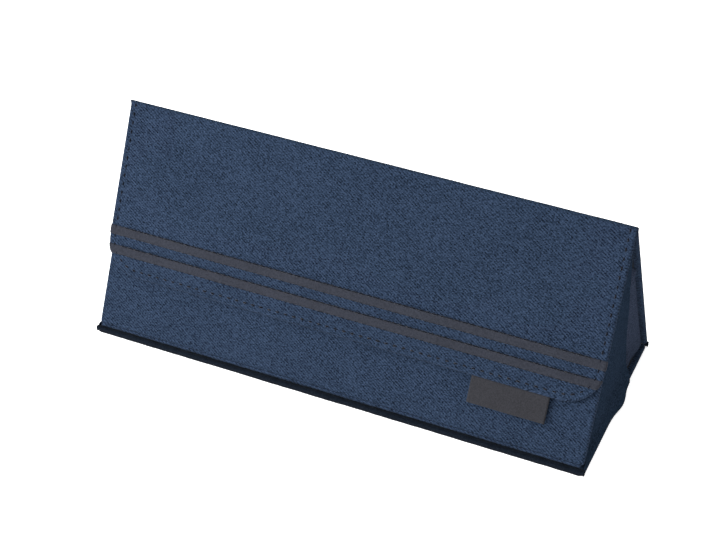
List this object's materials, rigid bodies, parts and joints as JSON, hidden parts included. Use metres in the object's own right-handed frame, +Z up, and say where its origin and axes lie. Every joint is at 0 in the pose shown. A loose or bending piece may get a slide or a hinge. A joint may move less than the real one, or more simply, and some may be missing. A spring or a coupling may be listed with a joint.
{
  "type": "brush roll case",
  "caption": "Stand-up triangular brush case with stiff fabric panels, a magnetic flap hinged at the ridge, a hinged front panel and pleated end gussets.",
  "frame": {"origin": "middle of the underside that the case stands on", "axes": "+X along the ridge, -Y is the flap side, +Z up"},
  "size_m": [0.2, 0.08, 0.0845],
  "materials": {
    "navy_canvas": "matt, fine diagonal polyester canvas",
    "gusset_canvas": "matt, soft unbacked canvas",
    "dark_canvas": "matt, dense woven edge tape",
    "lining": "matt, brushed lining cloth",
    "ribbon": "soft sheen, ribbed woven ribbon",
    "label_tape": "smooth woven tape",
    "board": "plain grey board",
    "steel": "plain zinc-plated"
  },
  "bodies": {
    "case": {"base_cover": "navy_canvas", "base_board": "board", "base_lining": "lining", "back_cover": "navy_canvas", "back_board": "board", "back_lining": "lining", "ridge_hinge_strip": "dark_canvas", "front_edge_strip": "dark_canvas", "rear_edge_strip": "dark_canvas", "gusset_back_left": "gusset_canvas", "gusset_back_right": "gusset_canvas"},
    "front_panel": {"front_cover": "navy_canvas", "front_board": "board", "front_lining": "lining", "steel_disc_left": "steel", "steel_disc_right": "steel", "gusset_front_left": "gusset_canvas", "gusset_front_right": "gusset_canvas"},
    "flap": {"flap_cover": "navy_canvas", "flap_board": "board", "flap_lining": "lining", "magnet_left": "steel", "magnet_right": "steel", "upper_stripe": "ribbon", "lower_stripe": "ribbon", "label": "label_tape"}
  },
  "joints": [
    {"name": "flap_hinge", "type": "hinge", "parent": "case", "child": "flap", "pos_m": [0, 0, 0.085], "axis": [-1, 0, 0], "range_deg": [0, 300]},
    {"name": "front_tilt", "type": "hinge", "parent": "case", "child": "front_panel", "pos_m": [0, -0.03905, 0.00285], "axis": [1, 0, 0], "range_deg": [0, 24]}
  ],
  "couplings": [
    {"joint": "front_tilt", "follows": "flap_hinge", "ratio": 0.08}
  ]
}
